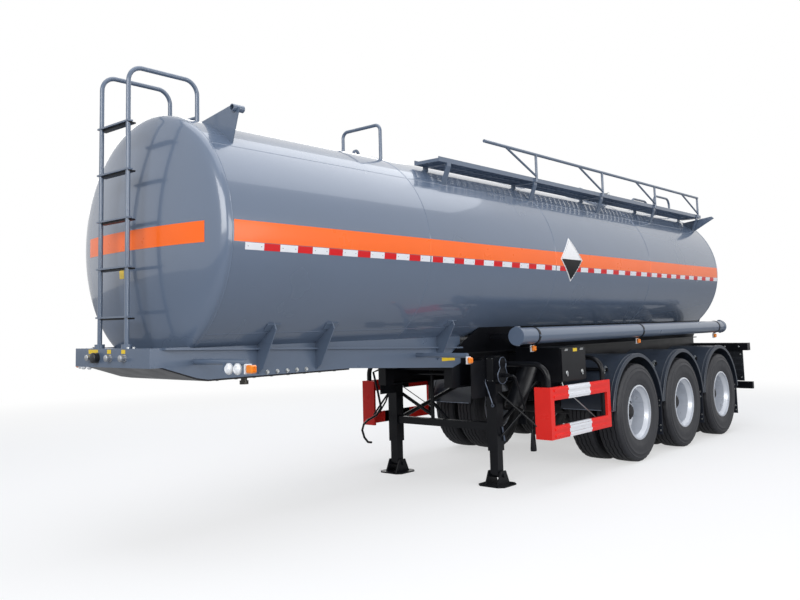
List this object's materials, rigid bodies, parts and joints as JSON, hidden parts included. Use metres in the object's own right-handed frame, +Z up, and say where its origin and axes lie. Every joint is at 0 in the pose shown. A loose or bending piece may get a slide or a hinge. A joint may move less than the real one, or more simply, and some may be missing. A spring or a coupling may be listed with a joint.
{
  "type": "tank semi-trailer",
  "caption": "Three-axle tank semi-trailer for corrosive liquids: cylindrical tank on a short neck and frame rails, with landing legs, ladders, walkway, hose tubes and dual wheels.",
  "frame": {"origin": "on the ground, in the middle of the trailer's overall length and width", "axes": "+X forward towards the kingpin, +Y left, +Z up"},
  "size_m": [9.808, 2.5004, 3.492],
  "materials": {
    "tank_grey": "gloss",
    "frame_black": "satin",
    "guard_red": "gloss",
    "tyre_rubber": "matte",
    "rim_silver": "satin",
    "axle_black": "matte",
    "spring_steel": "satin",
    "mudguard_plastic": "satin",
    "flap_rubber": "matte",
    "lamp_amber": "gloss",
    "lamp_red": "gloss",
    "pin_steel": "satin",
    "coupling_metal": "satin",
    "lid_steel": "satin"
  },
  "bodies": {
    "chassis": {"tank_shell": "tank_grey", "manhole_neck": "tank_grey", "tank_top_fittings": "tank_grey", "corner_plates": "tank_grey", "front_ladder": "tank_grey", "rear_ladder": "tank_grey", "walkway_deck": "tank_grey", "walkway_brackets": "tank_grey", "walkway_handrail": "tank_grey", "front_beam": "tank_grey", "neck_girders": "tank_grey", "neck_gussets": "tank_grey", "coupler_plate": "frame_black", "kingpin": "pin_steel", "front_couplings": "coupling_metal", "frame_rails": "frame_black", "frame_crossmembers": "frame_black", "saddle_skirts": "frame_black", "marker_arms": "tank_grey", "marker_lamps": "lamp_amber", "landing_leg_left": "frame_black", "landing_leg_right": "frame_black", "landing_braces": "frame_black", "landing_gearbox": "frame_black", "landing_crank": "frame_black", "side_guard_left": "guard_red", "side_guard_right": "guard_red", "side_guard_arms": "frame_black", "hose_tube_left": "tank_grey", "hose_tube_right": "tank_grey", "hose_tube_hangers": "frame_black", "toolbox": "frame_black", "chock_trough": "frame_black", "mudguards_left": "mudguard_plastic", "mudguards_right": "mudguard_plastic", "mudguard_tubes": "frame_black", "mud_flaps": "flap_rubber", "axles": "axle_black", "leaf_springs": "spring_steel", "spring_hangers": "frame_black", "brake_chambers": "axle_black", "air_tanks": "frame_black", "rear_beam": "frame_black", "rear_panels": "mudguard_plastic", "tail_lamps": "lamp_red", "outlet_valve": "coupling_metal"},
    "manhole_lid": {"manhole_lid": "lid_steel"},
    "wheel_1_left": {"wheel_1_left_tyres": "tyre_rubber", "wheel_1_left_rims": "rim_silver"},
    "wheel_1_right": {"wheel_1_right_tyres": "tyre_rubber", "wheel_1_right_rims": "rim_silver"},
    "wheel_2_left": {"wheel_2_left_tyres": "tyre_rubber", "wheel_2_left_rims": "rim_silver"},
    "wheel_2_right": {"wheel_2_right_tyres": "tyre_rubber", "wheel_2_right_rims": "rim_silver"},
    "wheel_3_left": {"wheel_3_left_tyres": "tyre_rubber", "wheel_3_left_rims": "rim_silver"},
    "wheel_3_right": {"wheel_3_right_tyres": "tyre_rubber", "wheel_3_right_rims": "rim_silver"}
  },
  "joints": [
    {"name": "manhole_lid_hinge", "type": "hinge", "parent": "chassis", "child": "manhole_lid", "pos_m": [-2.706, 0, 3.2723], "axis": [0, -1, 0], "range_deg": [0, 150]},
    {"name": "wheel_1_left_turn", "type": "hinge", "parent": "chassis", "child": "wheel_1_left", "pos_m": [-0.944, 0.9375, 0.5425], "axis": [0, 1, 0], "continuous": true},
    {"name": "wheel_1_right_turn", "type": "hinge", "parent": "chassis", "child": "wheel_1_right", "pos_m": [-0.944, -0.9375, 0.5425], "axis": [0, 1, 0], "continuous": true},
    {"name": "wheel_2_left_turn", "type": "hinge", "parent": "chassis", "child": "wheel_2_left", "pos_m": [-2.254, 0.9375, 0.5425], "axis": [0, 1, 0], "continuous": true},
    {"name": "wheel_2_right_turn", "type": "hinge", "parent": "chassis", "child": "wheel_2_right", "pos_m": [-2.254, -0.9375, 0.5425], "axis": [0, 1, 0], "continuous": true},
    {"name": "wheel_3_left_turn", "type": "hinge", "parent": "chassis", "child": "wheel_3_left", "pos_m": [-3.564, 0.9375, 0.5425], "axis": [0, 1, 0], "continuous": true},
    {"name": "wheel_3_right_turn", "type": "hinge", "parent": "chassis", "child": "wheel_3_right", "pos_m": [-3.564, -0.9375, 0.5425], "axis": [0, 1, 0], "continuous": true}
  ]
}
